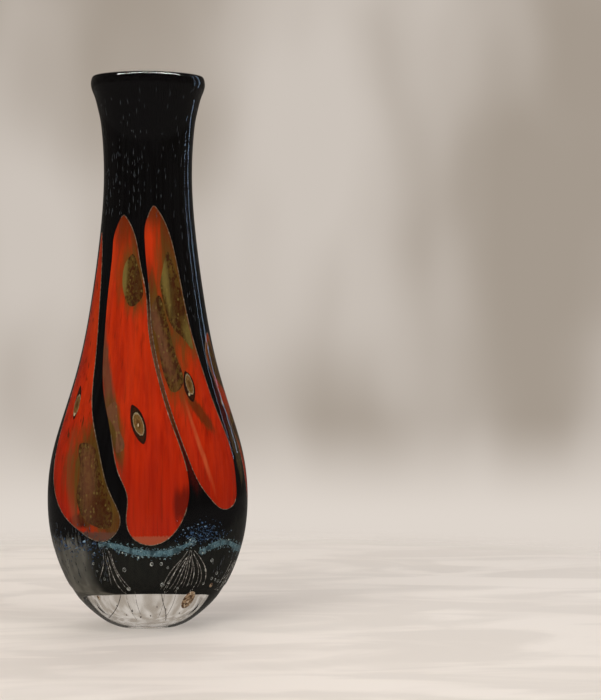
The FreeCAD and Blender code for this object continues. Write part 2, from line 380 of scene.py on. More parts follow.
def makeBubbleGlints():
    # a bubble as it shows against the dark glass: a pale rim, the painted reflection at its wall, and a
    # bright bead, a painted highlight
    deselectAll()
    # the bead: a painted highlight
    bpy.ops.mesh.primitive_ico_sphere_add(subdivisions=1, radius=0.3, location=(0.1, -0.3, 0.15))
    bead = bpy.context.object
    bpy.ops.mesh.primitive_torus_add(
        major_segments=16, minor_segments=6, major_radius=0.82, minor_radius=0.18,
        rotation=(math.radians(90), 0, 0))
    ring = bpy.context.object
    editAll()
    bpy.ops.transform.resize(value=(0.88, 1, 1.08), center_override=(0, 0, 0))
    bpy.ops.object.mode_set(mode="OBJECT")
    bead.select_set(True)
    bpy.ops.object.join()
    applyAll(ring)
    bpy.ops.object.shade_smooth()
    return ring


def scatter(seed, lean, count, angles, heights, lifts, widths, lengths):
    # places spread at random over a patch of the coat; every range is (low, high)
    draw = random.Random(seed)
    places = []
    for _ in range(count):
        wide = draw.uniform(*widths) * mm
        long = draw.uniform(*lengths) * mm
        places.append(placeOn(
            coatPoint, draw.uniform(*angles), draw.uniform(*heights) * mm, draw.uniform(*lifts) * mm,
            (wide, wide, long), draw.uniform(-lean, lean)))
    return places


# seeds: fine bubbles drawn out in the clear glass of the neck and the lower wall
seedPatches = {
    # how many, then the angles, heights, lifts, widths and lengths they lie between
    "neckFront": (110, (-80, 80), (223, 293), (0.3, 1.3), (0.08, 0.15), (0.4, 1.3)),
    "neckLeft": (60, (-75, -10), (224, 258), (0.3, 1.3), (0.09, 0.17), (0.5, 1.8)),
    "neckSides": (70, (55, 100), (165, 225), (0.3, 1.3), (0.1, 0.18), (0.5, 1.8)),
    "neckBack": (170, (80, 280), (222, 290), (0.3, 1.3), (0.1, 0.18), (0.4, 1.5)),
    "lowLeft": (150, (-120, -40), (27, 58), (0.4, 2.0), (0.14, 0.26), (0.5, 1.5)),
    "lowRight": (130, (60, 150), (26, 44), (0.4, 2.0), (0.14, 0.26), (0.5, 1.4)),
    "lowBack": (90, (150, 240), (27, 50), (0.4, 2.0), (0.14, 0.26), (0.5, 1.4)),
}
seedPlaces = []
for number, patch in enumerate(seedPatches.values()):
    seedPlaces += scatter(number + 3, 0.15, *patch)
airSeeds = setCopies(makeSpindle(), "airSeeds", seedPlaces)

# bubbles caught under the last gather: angle, height and radius in millimetres
bubbleRow = [
    (-25, 34, 1.15), (-24, 24, 1.2), (4, 37, 1.0), (14, 37, 0.9), (21, 35, 0.7), (17, 26, 1.15),
    (23, 27, 0.7), (60, 26, 0.8), (69, 31, 0.9), (61, 38, 1.0), (-52, 42, 0.6), (-53, 37, 0.7),
    (-51, 33, 0.6), (-46, 29, 0.8), (45, 26, 0.6), (36, 24, 0.7), (57, 33, 0.6)]
draw = random.Random(19)
for step in range(14):  # the curl of bubbles low on the right side
    bubbleRow.append((66 + 4.3 * step, 27 + draw.uniform(-2, 3), draw.uniform(0.45, 0.95)))
for step in range(12):  # and a few behind
    bubbleRow.append((150 + 9 * step, 31 + draw.uniform(-4, 8), draw.uniform(0.5, 1.0)))
bubblePlaces = [placeOn(coatPoint, angle, height * mm, 0.6 * mm, [radius * mm] * 3)
                for angle, height, radius in bubbleRow]
# each bubble is drawn as a pale ring and bead: painted reflection and painted highlight
baseBubbles = setCopies(makeBubbleGlints(), "baseBubbles", bubblePlaces)

# dark seeds and a few beads low in the clear base
clearRow = [(-18, 12, 0.55), (-9, 8.5, 0.5), (3, 9.2, 0.4), (20, 12.5, 0.5), (-34, 14.5, 0.5),
            (38, 10, 0.4), (-26, 9.5, 0.35), (10, 14, 0.35), (85, 12, 0.6), (100, 9, 0.5),
            (115, 13, 0.5), (160, 10, 0.6), (190, 12, 0.5), (225, 9, 0.5), (255, 13, 0.5)]
clearPlaces = [placeOn(outerPoint, angle, height * mm, -1.6 * mm, [radius * mm] * 3)
               for angle, height, radius in clearRow]
footBubbles = setCopies(makeBubble(), "footBubbles", clearPlaces)

# crushed blue glass round the two clouds of frit, and crumbs along the ragged edge of the trail
dustPlaces = []
for name, spread, drop in (("frit_right", 1.3, 2.5), ("frit_left", 1.7, 1.0)):
    low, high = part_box(name)
    middle = [(low[axis] + high[axis]) / 2 for axis in range(3)]
    facing = math.degrees(math.atan2(middle[0], -middle[1]))
    reach = math.degrees(math.hypot(high[0] - low[0], high[1] - low[1]) / 2
                         / math.hypot(middle[0], middle[1]))
    draw = random.Random(name)
    for _ in range(260):
        size = draw.uniform(0.12, 0.5) * mm
        dustPlaces.append(placeOn(
            coatPoint, draw.gauss(facing, reach * spread / 2),
            draw.gauss(middle[2] - drop * mm, (high[2] - low[2]) * spread / 4), 0.1 * mm,
            (size, size * 0.5, size), draw.uniform(0, 3)))
fritDust = setCopies(makeChip(), "fritDust", dustPlaces)

crumbPlaces = []
for name in [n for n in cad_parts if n.startswith("trail_")]:
    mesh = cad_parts[name].data
    draw = random.Random(name)
    for _ in range(480):
        spot = mesh.vertices[draw.randrange(len(mesh.vertices))].co
        angle = math.degrees(math.atan2(spot.x, -spot.y))
        size = draw.uniform(0.15, 0.5) * mm
        crumbPlaces.append(placeOn(
            coatPoint, angle + draw.gauss(0, 1.2), spot.z + draw.gauss(0, 0.9) * mm, 0.05 * mm,
            (size * 1.5, size * 0.5, size), draw.uniform(0, 3)))
trailCrumbs = setCopies(makeChip(), "trailCrumbs", crumbPlaces)
print("inclusions made")


# threads of air, drawn out in fans under the trail

def drawTubes(name, lines, radius):
    # tapering tubes along lists of points, made into one mesh
    curve = bpy.data.curves.new(name, "CURVE")
    curve.dimensions = "3D"
    curve.bevel_depth = radius
    curve.bevel_resolution = 1
    curve.resolution_u = 3
    curve.use_fill_caps = True
    for line in lines:
        spline = curve.splines.new("NURBS")
        spline.points.add(len(line) - 1)
        spline.order_u = 4
        spline.use_endpoint_u = True
        for index, place in enumerate(line):
            taper = 0.35 + 0.65 * math.sin(math.pi * (index + 0.5) / len(line))
            spline.points[index].co = (*place, 1)
            spline.points[index].radius = taper
    tubes = bpy.data.objects.new(name, curve)
    bpy.context.collection.objects.link(tubes)
    makeActive(tubes)
    bpy.ops.object.convert(target="MESH")
    tubes = rename(bpy.context.object, name)
    bpy.ops.object.shade_smooth()
    applyAll(tubes)
    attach(tubes, "root")
    return tubes


threadFans = {
    # where a fan starts, and where its first, middle and last threads end: (angle, height)
    "right": {"start": (42, 42), "ends": ((15, 25), (38, 22.5), (60, 27)), "count": 12},
    "left": {"start": (-41, 43), "ends": ((-21, 25), (-34, 22.5), (-50, 29)), "count": 5},
    "side": {"start": (97, 62), "ends": ((80, 25), (97, 23), (116, 25)), "count": 17, "from": 39},
    "back": {"start": (190, 44), "ends": ((168, 26), (190, 23), (214, 27)), "count": 11},
    "backLeft": {"start": (-108, 42), "ends": ((-124, 26), (-108, 23), (-90, 27)), "count": 10},
}
threadLines = []
for number, fan in enumerate(threadFans.values()):
    draw = random.Random(number + 40)
    first, middle, last = (np.array(end, float) for end in fan["ends"])
    for thread in range(fan["count"]):
        share = thread / (fan["count"] - 1)
        start = np.array(fan["start"], float)
        start += (7 * (share - 0.5) * np.sign(last[0] - first[0]), draw.uniform(-2, 2))
        end = ((1 - share) ** 2 * first + 2 * share * (1 - share) * (2 * middle - (first + last) / 2)
               + share ** 2 * last)
        end += (draw.uniform(-1.2, 1.2), draw.uniform(-1.5, 2.5))
        line = []
        for step in np.linspace(0, 1, 7):
            angle, height = start + (end - start) * step
            angle += 1.6 * math.sin(math.pi * step) * (share - 0.5) * 4
            angle += draw.uniform(-0.25, 0.25)
            if height < fan.get("from", 100):
                line.append(coatPoint(angle, height * mm, (0.25 + 0.9 * step) * mm))
        threadLines.append(line)
airThreads = drawTubes("airThreads", threadLines, 0.21 * mm)

# a few threads run on down through the clear base
baseLines = []
for angle, low, curl in ((-24, 6, 10), (-14, 9, 6), (18, 8, -5), (30, 7, -9), (44, 12, 4),
                         (96, 8, 6), (170, 8, -6), (200, 7, 8), (-110, 8, 6)):
    baseLines.append([
        outerPoint(angle + curl * step ** 2, (floorHeight + 1.5 * mm) * (1 - step) + low * mm * step,
                   (-3.2 + 1.2 * step) * mm)
        for step in np.linspace(0, 1, 6)])
baseThreads = drawTubes("baseThreads", baseLines, 0.14 * mm)

# a pebble of brown glass caught under the colour, low on the right
pebble = {"angle": 44, "height": 17.5 * mm, "size": (3.6 * mm, 1.1 * mm, 4.2 * mm), "deep": -2.6 * mm}
brownPebble = setCopies(makeBubble(), "brownPebble", [
    placeOn(outerPoint, pebble["angle"], pebble["height"], pebble["deep"], pebble["size"], 0.5),
    placeOn(outerPoint, 62, 24.5 * mm, -1.8 * mm, (1.3 * mm, 0.5 * mm, 1.0 * mm), 0.2),
    placeOn(outerPoint, -52, 18.5 * mm, -1.8 * mm, (0.8 * mm, 0.5 * mm, 1.1 * mm), -0.4)])
print("threads made")


# grey-gold outlines, where each petal was pressed in

outline = {
    "radius": 0.19 * mm, "flatness": 0.16 * mm, "clear": 0.06 * mm,
    "merge": 0.001 * mm, "join": 0.02 * mm,
    "sliver": 1e-10,             # faces smaller than this, in square metres, are passed over
    "sideways": 0.6, "outwards": 0.75,
}


def petalFamilies():
    # each petal with the chips and cane slices that touch it
    families = {}
    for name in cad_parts:
        if name.startswith("petal_"):
            families[name] = [name]
    trees = {name: BVHTree.FromObject(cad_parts[name], bpy.context.evaluated_depsgraph_get())
             for name in families}
    for name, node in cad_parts.items():
        if name.startswith(("olive_", "murrina_")):
            corners = [node.data.vertices[index].co for index in range(0, len(node.data.vertices), 7)]
            owner = min(trees, key=lambda petal: sum(
                trees[petal].find_nearest(corner)[3] for corner in corners))
            families[owner].append(name)
    return families


def outlineEdges(name):
    # the edges of a node where its outer face meets a side wall, read from a merged copy
    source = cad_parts[name]
    rim = source.copy()
    rim.data = source.data.copy()
    bpy.context.collection.objects.link(rim)
    makeActive(rim)
    mergeCorners(outline["merge"])
    form = bmesh.new()
    form.from_mesh(rim.data)
    found = []
    for edge in form.edges:
        faces = [face for face in edge.link_faces if face.calc_area() > outline["sliver"]]
        if len(faces) != 2:
            continue
        middle = (edge.verts[0].co + edge.verts[1].co) / 2
        outwards = Vector((middle.x, middle.y, 0)).normalized()
        facing = sorted(face.normal.dot(outwards) for face in faces)
        turn = math.degrees(math.atan2(middle.x, -middle.y))
        reach = coatPoint(turn, middle.z).to_2d().length - outline["flatness"]
        onRim = facing[0] < outline["sideways"] and facing[1] > outline["outwards"]
        if onRim and middle.to_2d().length > reach:
            found.append([corner.co.copy() for corner in edge.verts])
    form.free()
    bpy.data.objects.remove(rim)
    return found


def makeOutlines():
    depsgraph = bpy.context.evaluated_depsgraph_get()
    corners, pairs = [], []
    for family in petalFamilies().values():
        trees = {name: BVHTree.FromObject(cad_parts[name], depsgraph) for name in family}
        for name in family:
            others = [trees[other] for other in family if other != name]
            for ends in outlineEdges(name):
                middle = (ends[0] + ends[1]) / 2
                if all(tree.find_nearest(middle)[3] > outline["clear"] for tree in others):
                    pairs.append((len(corners), len(corners) + 1))
                    corners += ends
    mesh = bpy.data.meshes.new("petalOutlines")
    mesh.from_pydata(corners, pairs, [])
    rims = bpy.data.objects.new("petalOutlines", mesh)
    bpy.context.collection.objects.link(rims)
    makeActive(rims)
    mergeCorners(outline["join"])
    bpy.ops.object.convert(target="CURVE")
    rims = bpy.context.object
    rims.data.bevel_depth = outline["radius"]
    rims.data.bevel_resolution = 1
    bpy.ops.object.convert(target="MESH")
    rims = rename(bpy.context.object, "petalOutlines")
    bpy.ops.object.shade_smooth()
    applyAll(rims)
    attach(rims, "root")
    return rims


petalOutlines = makeOutlines()
print("outlines made:", len(petalOutlines.data.polygons), "faces")


# material helpers

def addNode(tree, kind, inputs=None, **settings):
    made = tree.nodes.new(kind)
    for key, value in settings.items():
        setattr(made, key, value)
    for socket, value in (inputs or {}).items():
        if isinstance(value, bpy.types.NodeSocket):
            tree.links.new(value, made.inputs[socket])
        else:
            made.inputs[socket].default_value = value
    return made


def calc(tree, operation, first, second=0.0):
    return addNode(tree, "ShaderNodeMath", {0: first, 1: second}, operation=operation).outputs[0]


def blend(tree, mask, under, over):
    # colour under where the mask is 0, over where it is 1
    mixed = addNode(tree, "ShaderNodeMix", data_type="RGBA")
    for socket, value in (("Factor", mask), ("A", under), ("B", over)):
        target = [s for s in mixed.inputs if s.name == socket and s.type in ("RGBA", "VALUE") and
                  (s.type == "RGBA" or socket == "Factor")][0]
        if isinstance(value, bpy.types.NodeSocket):
            tree.links.new(value, target)
        else:
            target.default_value = value
    return [s for s in mixed.outputs if s.type == "RGBA"][0]


def ramp(tree, value, low, high, toLow=0.0, toHigh=1.0):
    return addNode(tree, "ShaderNodeMapRange", {
        "Value": value, "From Min": low, "From Max": high, "To Min": toLow, "To Max": toHigh},
        interpolation_type="SMOOTHSTEP").outputs["Result"]


def stretch(tree, vector, scale, shift=(0, 0, 0)):
    # coordinates for a pattern, moved and scaled
    return addNode(tree, "ShaderNodeMapping", {
        "Vector": vector, "Location": shift, "Scale": scale}).outputs[0]


def noise(tree, vector, scale, detail, seed=None, **more):
    inputs = {"Vector": vector, "Scale": scale, "Detail": detail, **more}
    if seed is None:
        return addNode(tree, "ShaderNodeTexNoise", inputs).outputs["Fac"]
    inputs["W"] = seed
    return addNode(tree, "ShaderNodeTexNoise", inputs, noise_dimensions="4D").outputs["Fac"]


def glaze(tree, colour, mask, strength, over):
    # another colour laid over at part strength
    return blend(tree, calc(tree, "MULTIPLY", mask, strength), colour, over)


def addBump(tree, shader, pattern, strength, distance):
    bump = addNode(tree, "ShaderNodeBump", {
        "Height": pattern, "Strength": strength, "Distance": distance})
    tree.links.new(bump.outputs[0], shader.inputs["Normal"])


def objectPosition(tree):
    return addNode(tree, "ShaderNodeTexCoord").outputs["Object"]


def paint(red, green, blue):
    # a paint chip's 0-255 values as a linear colour
    def linear(value):
        value /= 255
        return value / 12.92 if value <= 0.04045 else ((value + 0.055) / 1.055) ** 2.4
    return (linear(red), linear(green), linear(blue), 1.0)


def newMaterial(name, base, roughness=0.2, specular=0.5):
    material = bpy.data.materials.new(name)
    material.use_nodes = True
    shader = material.node_tree.nodes["Principled BSDF"]
    shader.inputs["Base Color"].default_value = base
    shader.inputs["Roughness"].default_value = roughness
    shader.inputs["Specular IOR Level"].default_value = specular
    return material, material.node_tree, shader


def painted(material, shader, colour):
    material.node_tree.links.new(colour, shader.inputs["Base Color"])
    return material


def setMaterial(piece, material):
    piece.data.materials.clear()
    piece.data.materials.append(material)


# shared patterns

def startGroup(name, inputs, outputs):
    # a shared group and its sockets; an input with no starting value is a vector
    group = bpy.data.node_groups.new(name, "ShaderNodeTree")
    for socket, value in inputs.items():
        if value is None:
            group.interface.new_socket(socket, in_out="INPUT", socket_type="NodeSocketVector")
        else:
            made = group.interface.new_socket(socket, in_out="INPUT", socket_type="NodeSocketFloat")
            made.default_value = value
    for socket in outputs:
        group.interface.new_socket(socket, in_out="OUTPUT", socket_type="NodeSocketFloat")
    return group, addNode(group, "NodeGroupInput").outputs


def makePlaceGroup():
    # where a point lies: angle round the vase in degrees, height in millimetres
    group, start = startGroup("placeOnVase", {"Position": None}, ("Angle", "Height"))
    apart = addNode(group, "ShaderNodeSeparateXYZ", {0: start["Position"]}).outputs
    turn = calc(group, "ARCTAN2", apart["X"], calc(group, "MULTIPLY", apart["Y"], -1))
    addNode(group, "NodeGroupOutput", {
        "Angle": calc(group, "MULTIPLY", turn, 180 / math.pi),
        "Height": calc(group, "MULTIPLY", apart["Z"], 1000)})
    return group


def makeStreakGroup():
    # streaks drawn out up the vase: fine ones, broad ones, and thin dark lines
    group, start = startGroup("drawnStreaks", {"Position": None, "Fineness": 1.0, "Seed": 0.0},
                              ("Streaks", "Broad", "Lines"))

    def drawn(scale, fineness, detail, low, high):
        streak = noise(group, stretch(group, start["Position"], scale), fineness, detail,
                       start["Seed"], Roughness=0.6)
        return ramp(group, streak, low, high)

    addNode(group, "NodeGroupOutput", {
        "Streaks": drawn((520, 520, 18), start["Fineness"], 4.0, 0.3, 0.7),
        "Broad": drawn((110, 110, 14), 1.0, 2.0, 0.35, 0.65),
        "Lines": drawn((760, 760, 12), start["Fineness"], 1.0, 0.60, 0.70)})
    return group


def makeGrainGroup():
    # crushed glass grain: a scatter of specks, with soft variation between them
    group, start = startGroup("glassGrain", {"Position": None, "Size": 1.0, "Seed": 0.0},
                              ("Grain", "Specks"))
    scale = calc(group, "DIVIDE", 1500.0, start["Size"])
    squashed = stretch(group, start["Position"], (1, 1, 0.6))
    grain = noise(group, squashed, scale, 3.0, start["Seed"], Roughness=0.65)
    cells = addNode(group, "ShaderNodeTexVoronoi", {
        "Vector": squashed, "W": start["Seed"], "Scale": scale}, voronoi_dimensions="4D").outputs
    chance = addNode(group, "ShaderNodeSeparateColor", {0: cells["Color"]}).outputs[0]
    kept = calc(group, "GREATER_THAN", chance, 0.62)
    addNode(group, "NodeGroupOutput", {
        "Grain": ramp(group, grain, 0.36, 0.64),
        "Specks": calc(group, "MULTIPLY", ramp(group, cells["Distance"], 0.42, 0.22), kept)})
    return group


def makeOvalGroup():
    # how far out a point lies from the middle of an oval on the wall: 0 in the middle, 1 at its edge
    group, start = startGroup("ovalOnWall", {
        "Angle": 0.0, "Height": 0.0, "Middle Angle": 0.0, "Middle Height": 0.0,
        "Half Angle": 5.0, "Half Height": 10.0, "Lean": 0.0}, ("Distance",))
    around = calc(group, "SUBTRACT", start["Angle"], start["Middle Angle"])
    up = calc(group, "SUBTRACT", start["Height"], start["Middle Height"])
    slid = calc(group, "MULTIPLY", up, start["Lean"])
    across = calc(group, "DIVIDE", calc(group, "SUBTRACT", around, slid), start["Half Angle"])
    along = calc(group, "DIVIDE", up, start["Half Height"])
    both = calc(group, "ADD", calc(group, "MULTIPLY", across, across),
                calc(group, "MULTIPLY", along, along))
    addNode(group, "NodeGroupOutput", {"Distance": calc(group, "SQRT", both)})
    return group


groups = {"place": makePlaceGroup(), "streaks": makeStreakGroup(), "grain": makeGrainGroup(),
          "oval": makeOvalGroup()}


def useGroup(tree, key, inputs):
    return addNode(tree, "ShaderNodeGroup", inputs, node_tree=groups[key]).outputs


def startPattern(tree):
    # object position, angle and height, for any pattern on the vase
    position = objectPosition(tree)
    place = useGroup(tree, "place", {"Position": position})
    return position, place["Angle"], place["Height"]


def centred(tree, value, strength):
    # a 0 to 1 pattern as a wobble either side of nothing
    return calc(tree, "MULTIPLY", calc(tree, "SUBTRACT", value, 0.5), strength)


def ovalDistance(tree, angle, height, oval, wobble=None):
    # oval: middle angle, middle height, half angle, half height, lean in degrees per millimetre up
    distance = useGroup(tree, "oval", {
        "Angle": angle, "Height": height, "Middle Angle": oval[0], "Middle Height": oval[1],
        "Half Angle": oval[2], "Half Height": oval[3], "Lean": oval[4]})["Distance"]
    return distance if wobble is None else calc(tree, "ADD", distance, wobble)


def addClouds(tree, colour, angle, height, clouds, wobble, tones=None):
    # ovals of another colour, each (tone, oval, softness, strength)
    for tone, oval, soft, strength in clouds:
        distance = ovalDistance(tree, angle, height, oval, wobble)
        mask = calc(tree, "MULTIPLY", ramp(tree, distance, 1 + soft, 1 - soft), strength)
        over = glass[tone]
        if tones is not None:
            darker = tuple(0.55 * part for part in over[:3]) + (1,)
            over = blend(tree, tones, over, darker)
        colour = blend(tree, mask, colour, over)
    return colour


# glass colours

glass = {
    "deepRed": paint(140, 22, 4),
    "vermilion": paint(178, 36, 6),
    "orange": paint(212, 72, 20),
    # the pale orange of a painted highlight streak
    "paleOrange": paint(206, 96, 52),
    "salmon": paint(150, 72, 48),
    "footBrown": paint(84, 58, 46),
    "brown": paint(92, 44, 14),
    "redBrown": paint(60, 28, 8),
    "maroon": paint(66, 10, 5),
    "olive": paint(90, 66, 24),
    "paleOlive": paint(118, 102, 50),
    "darkOlive": paint(34, 23, 8),
    "taupe": paint(104, 66, 44),
    "greyOlive": paint(78, 66, 42),
    "black": paint(2, 2, 3),
    "charcoal": paint(27, 27, 23),
    "smoke": paint(16, 17, 15),
    "greySmoke": paint(112, 110, 102),
    "trailBlue": paint(98, 124, 130),
    "trailDeep": paint(58, 86, 96),
    "trailDusk": paint(34, 50, 56),
    "trailPale": paint(176, 188, 182),
    "cream": paint(190, 170, 132),
    "tan": paint(120, 84, 48),
    "umber": paint(34, 16, 8),
    "rimGold": paint(124, 108, 86),
}


def clearGlassMaterial():
    material, tree, shader = newMaterial("clearGlass", (0.985, 0.99, 0.985, 1), 0.0, 0.22)
    shader.inputs["Transmission Weight"].default_value = 1.0
    shader.inputs["IOR"].default_value = 1.5
    waves = noise(tree, stretch(tree, objectPosition(tree), (34, 34, 12)), 1.0, 1.0)
    addBump(tree, shader, waves, 0.05, 0.002)
    # lamps reach the colour through the casing
    path = addNode(tree, "ShaderNodeLightPath")
    either = calc(tree, "MAXIMUM", path.outputs["Is Shadow Ray"], path.outputs["Is Diffuse Ray"])
    through = addNode(tree, "ShaderNodeBsdfTransparent")
    mixed = addNode(tree, "ShaderNodeMixShader", {
        0: either, 1: shader.outputs[0], 2: through.outputs[0]})
    output = tree.nodes["Material Output"]
    tree.links.new(mixed.outputs[0], output.inputs["Surface"])
    return material


def petalMaterial(name, look):
    # vermilion drawn out in streaks, with clouds of other colours; deeper red low down and more orange
    # towards the top, partly the glass's own colour and partly painted shade low down and painted light at
    # the top
    material, tree, shader = newMaterial(name, glass["vermilion"], 0.5, 0.0)
    position, angle, height = startPattern(tree)
    streaks = useGroup(tree, "streaks", {
        "Position": position, "Fineness": look.get("fineness", 1.0), "Seed": look["seed"]})
    grain = useGroup(tree, "grain", {"Position": position, "Size": 1.3, "Seed": look["seed"]})
    # painted shade and light by height: the streaks turn deep red low down, and orange is laid on towards
    # the top
    red = calc(tree, "MULTIPLY", streaks["Streaks"], ramp(tree, height, 50, 120, 0.55, 1.0))
    colour = blend(tree, red, glass["deepRed"], glass["vermilion"])
    orangeAndTopLight = calc(tree, "MULTIPLY", ramp(tree, height, 80, 210, 0.12, 0.6), look.get("glow", 0.7))
    colour = glaze(tree, colour, orangeAndTopLight, ramp(tree, streaks["Broad"], 0, 1, 0.4, 1.0), glass["orange"])
    colour = glaze(tree, colour, streaks["Lines"], look.get("lines", 0.25), glass["redBrown"])
    wobble = centred(tree, streaks["Streaks"], look.get("ragged", 0.35))
    halos = [("olive", chipOval(chip), 0.5, 0.9) for chip in look.get("chips", ())]
    colour = addClouds(tree, colour, angle, height, [*look.get("clouds", ()), *halos], wobble,
                       calc(tree, "MULTIPLY", streaks["Streaks"], 0.9))
    if "foot" in look:  # the thin lower edge, over the black
        low, high, tone = look["foot"]
        thin = ramp(tree, calc(tree, "ADD", height, centred(
            tree, grain["Grain"], 0.8)), high, low)
        colour = glaze(tree, colour, thin, 0.9, glass[tone])
    return painted(material, shader, colour)


def oliveMaterial(name, look):
    # olive aventurine: red-brown grain, a paler crescent, and pale specks in the grain: the flakes' own
    # paler colour with painted glints on them
    material, tree, shader = newMaterial(name, glass["olive"], 0.5, 0.0)
    position, angle, height = startPattern(tree)
    grain = useGroup(tree, "grain", {"Position": position, "Size": 2.2, "Seed": look["seed"]})
    streaks = useGroup(tree, "streaks", {
        "Position": position, "Fineness": 1.2, "Seed": look["seed"]})
    colour = blend(tree, ramp(tree, grain["Grain"], 0.2, 0.8), glass["redBrown"],
                   glass["olive"])
    colour = glaze(tree, colour, streaks["Streaks"], 0.55, glass["darkOlive"])
    wobble = centred(tree, streaks["Streaks"], 0.5)
    colour = addClouds(tree, colour, angle, height, look.get("clouds", ()), wobble,
                       calc(tree, "MULTIPLY", streaks["Lines"], 0.8))
    # pale specks for the aventurine flakes: their own paler colour, partly painted glint
    colour = glaze(tree, colour, grain["Specks"], 0.55, glass["paleOlive"])
    return painted(material, shader, colour)


def murrinaMaterial(name, oval, heart, beadDrop):
    # a drawn-out cane slice: a dark leaf, a tan heart ringed in umber and cream, and a cream bead
    material, tree, shader = newMaterial(name, glass["redBrown"], 0.45, 0.0)
    position, angle, height = startPattern(tree)
    grain = useGroup(tree, "grain", {"Position": position, "Size": 0.7, "Seed": oval[0]})
    wobble = centred(tree, grain["Grain"], 0.12)
    leaf = ovalDistance(tree, angle, height, oval, wobble)
    colour = blend(tree, grain["Grain"], glass["redBrown"], glass["umber"])
    colour = blend(tree, ramp(tree, leaf, 0.72, 0.9), colour, glass["umber"])
    middle = (oval[0] + heart[0], oval[1] + heart[1], oval[2] * heart[2], oval[3] * heart[3], oval[4])
    rings = ovalDistance(tree, angle, height, middle, wobble)
    tan = blend(tree, grain["Grain"], glass["tan"], glass["olive"])
    for over, outer, strength in ((glass["umber"], 1.12, 1.0), (glass["cream"], 0.99, 0.6),
                                  (tan, 0.9, 1.0), (glass["redBrown"], 0.4, 0.6)):
        colour = blend(tree, ramp(tree, rings, outer, outer - 0.08, 0.0, strength), colour, over)
    bead = ovalDistance(tree, angle, height, (
        middle[0] + middle[4] * beadDrop, middle[1] - abs(beadDrop), 0.9, 1.0, 0))
    colour = blend(tree, ramp(tree, bead, 1.1, 0.7, 0.0, 0.85), colour, glass["cream"])
    return painted(material, shader, colour)


def trailMaterial(name, seed):
    # blue-grey thread with pale and dark specks
    material, tree, shader = newMaterial(name, glass["trailBlue"], 0.5, 0.0)
    position = objectPosition(tree)
    grain = useGroup(tree, "grain", {"Position": position, "Size": 0.9, "Seed": seed})
    dark = useGroup(tree, "grain", {"Position": position, "Size": 0.7, "Seed": seed + 9.0})
    colour = blend(tree, grain["Grain"], glass["trailDeep"], glass["trailBlue"])
    colour = glaze(tree, colour, grain["Specks"], 0.7, glass["trailPale"])
    colour = blend(tree, dark["Specks"], colour, glass["smoke"])
    cloudy = noise(tree, position, 260.0, 2.0, seed)
    colour = blend(tree, ramp(tree, cloudy, 0.5, 0.64, 0.0, 0.85), colour, glass["trailDusk"])
    return painted(material, shader, colour)


def crumbMaterial(name, dark, middle, pale, share, seed, roughness=0.4):
    # crumbs and seeds: each takes its own tone between dark and middle, and a few are pale
    material, tree, shader = newMaterial(name, middle, roughness, 0.2)
    position = objectPosition(tree)
    tones = noise(tree, position, 900.0, 1.0, seed)
    colour = blend(tree, ramp(tree, tones, 0.4, 0.6), dark, middle)
    picked = noise(tree, position, 700.0, 0.0, seed + 5.0)
    colour = blend(tree, ramp(tree, picked, 1 - share, 1.06 - share), colour, pale)
    return painted(material, shader, colour)


def airMaterial():
    # air inside the clear glass: light bends the other way on its walls
    material, tree, shader = newMaterial("trappedAir", (1, 1, 1, 1), 0.02, 0.5)
    shader.inputs["Transmission Weight"].default_value = 1.0
    shader.inputs["IOR"].default_value = 0.667
    pits = noise(tree, objectPosition(tree), 900.0, 0.0)
    addBump(tree, shader, pits, 0.1, 0.0005)
    return material


def coreMaterial(name, seed):
    # black above, smoky charcoal below the trail; brown glass showing in two of the gaps
    material, tree, shader = newMaterial(name, glass["black"], 0.5, 0.0)
    position, angle, height = startPattern(tree)
    streaks = useGroup(tree, "streaks", {"Position": position, "Fineness": 1.2, "Seed": seed})
    grain = useGroup(tree, "grain", {"Position": position, "Size": 1.1, "Seed": seed})
    # the smoky glass reaches higher in an arch on the right side
    arch = calc(tree, "ABSOLUTE", calc(tree, "SUBTRACT", angle, 92.0))
    raised = ramp(tree, arch, 34, 8, 0.0, 13.0)
    edge = calc(tree, "SUBTRACT", calc(tree, "ADD", height, centred(
        tree, streaks["Streaks"], 8)), raised)
    smoky = ramp(tree, edge, 51, 45)
    smoke = blend(tree, streaks["Streaks"], glass["smoke"], glass["charcoal"])
    left = ramp(tree, angle, -52, -66)
    left = calc(tree, "MULTIPLY", left, ramp(tree, streaks["Broad"], 0, 1, 0.5, 1.0))
    smoke = blend(tree, left, smoke, glass["greySmoke"])
    colour = blend(tree, smoky, glass["black"], smoke)
    wobble = centred(tree, streaks["Streaks"], 0.4)
    colour = addClouds(tree, colour, angle, height, (
        ("taupe", (11, 141, 6.5, 40, -0.42), 0.3, 0.95),
        ("brown", (27, 112, 5, 17, -0.5), 0.35, 0.8),
        ("maroon", (37, 94, 6, 16, -0.5), 0.4, 0.85),
        ("maroon", (79, 118, 5, 24, -0.05), 0.35, 0.9),
        ("greyOlive", (81, 96, 3.2, 16, -0.1), 0.35, 0.85),
        ("cream", (78.5, 122, 1.1, 1.6, 0), 0.3, 0.8)), wobble, grain["Grain"])
    return painted(material, shader, colour)


def chipOval(name):
    # the oval on the wall that a chip covers, a little larger than the chip
    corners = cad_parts[name].data.vertices
    turns = np.array([math.degrees(math.atan2(corner.co.x, -corner.co.y)) for corner in corners])
    heights = np.array([corner.co.z * 1000 for corner in corners])
    middle = (turns.max() + turns.min()) / 2, (heights.max() + heights.min()) / 2
    lean = np.polyfit(heights, turns, 1)[0]
    turns = turns - middle[0] - lean * (heights - middle[1])
    return (middle[0], middle[1], np.abs(turns).max() * 1.15, np.ptp(heights) * 0.58, lean)


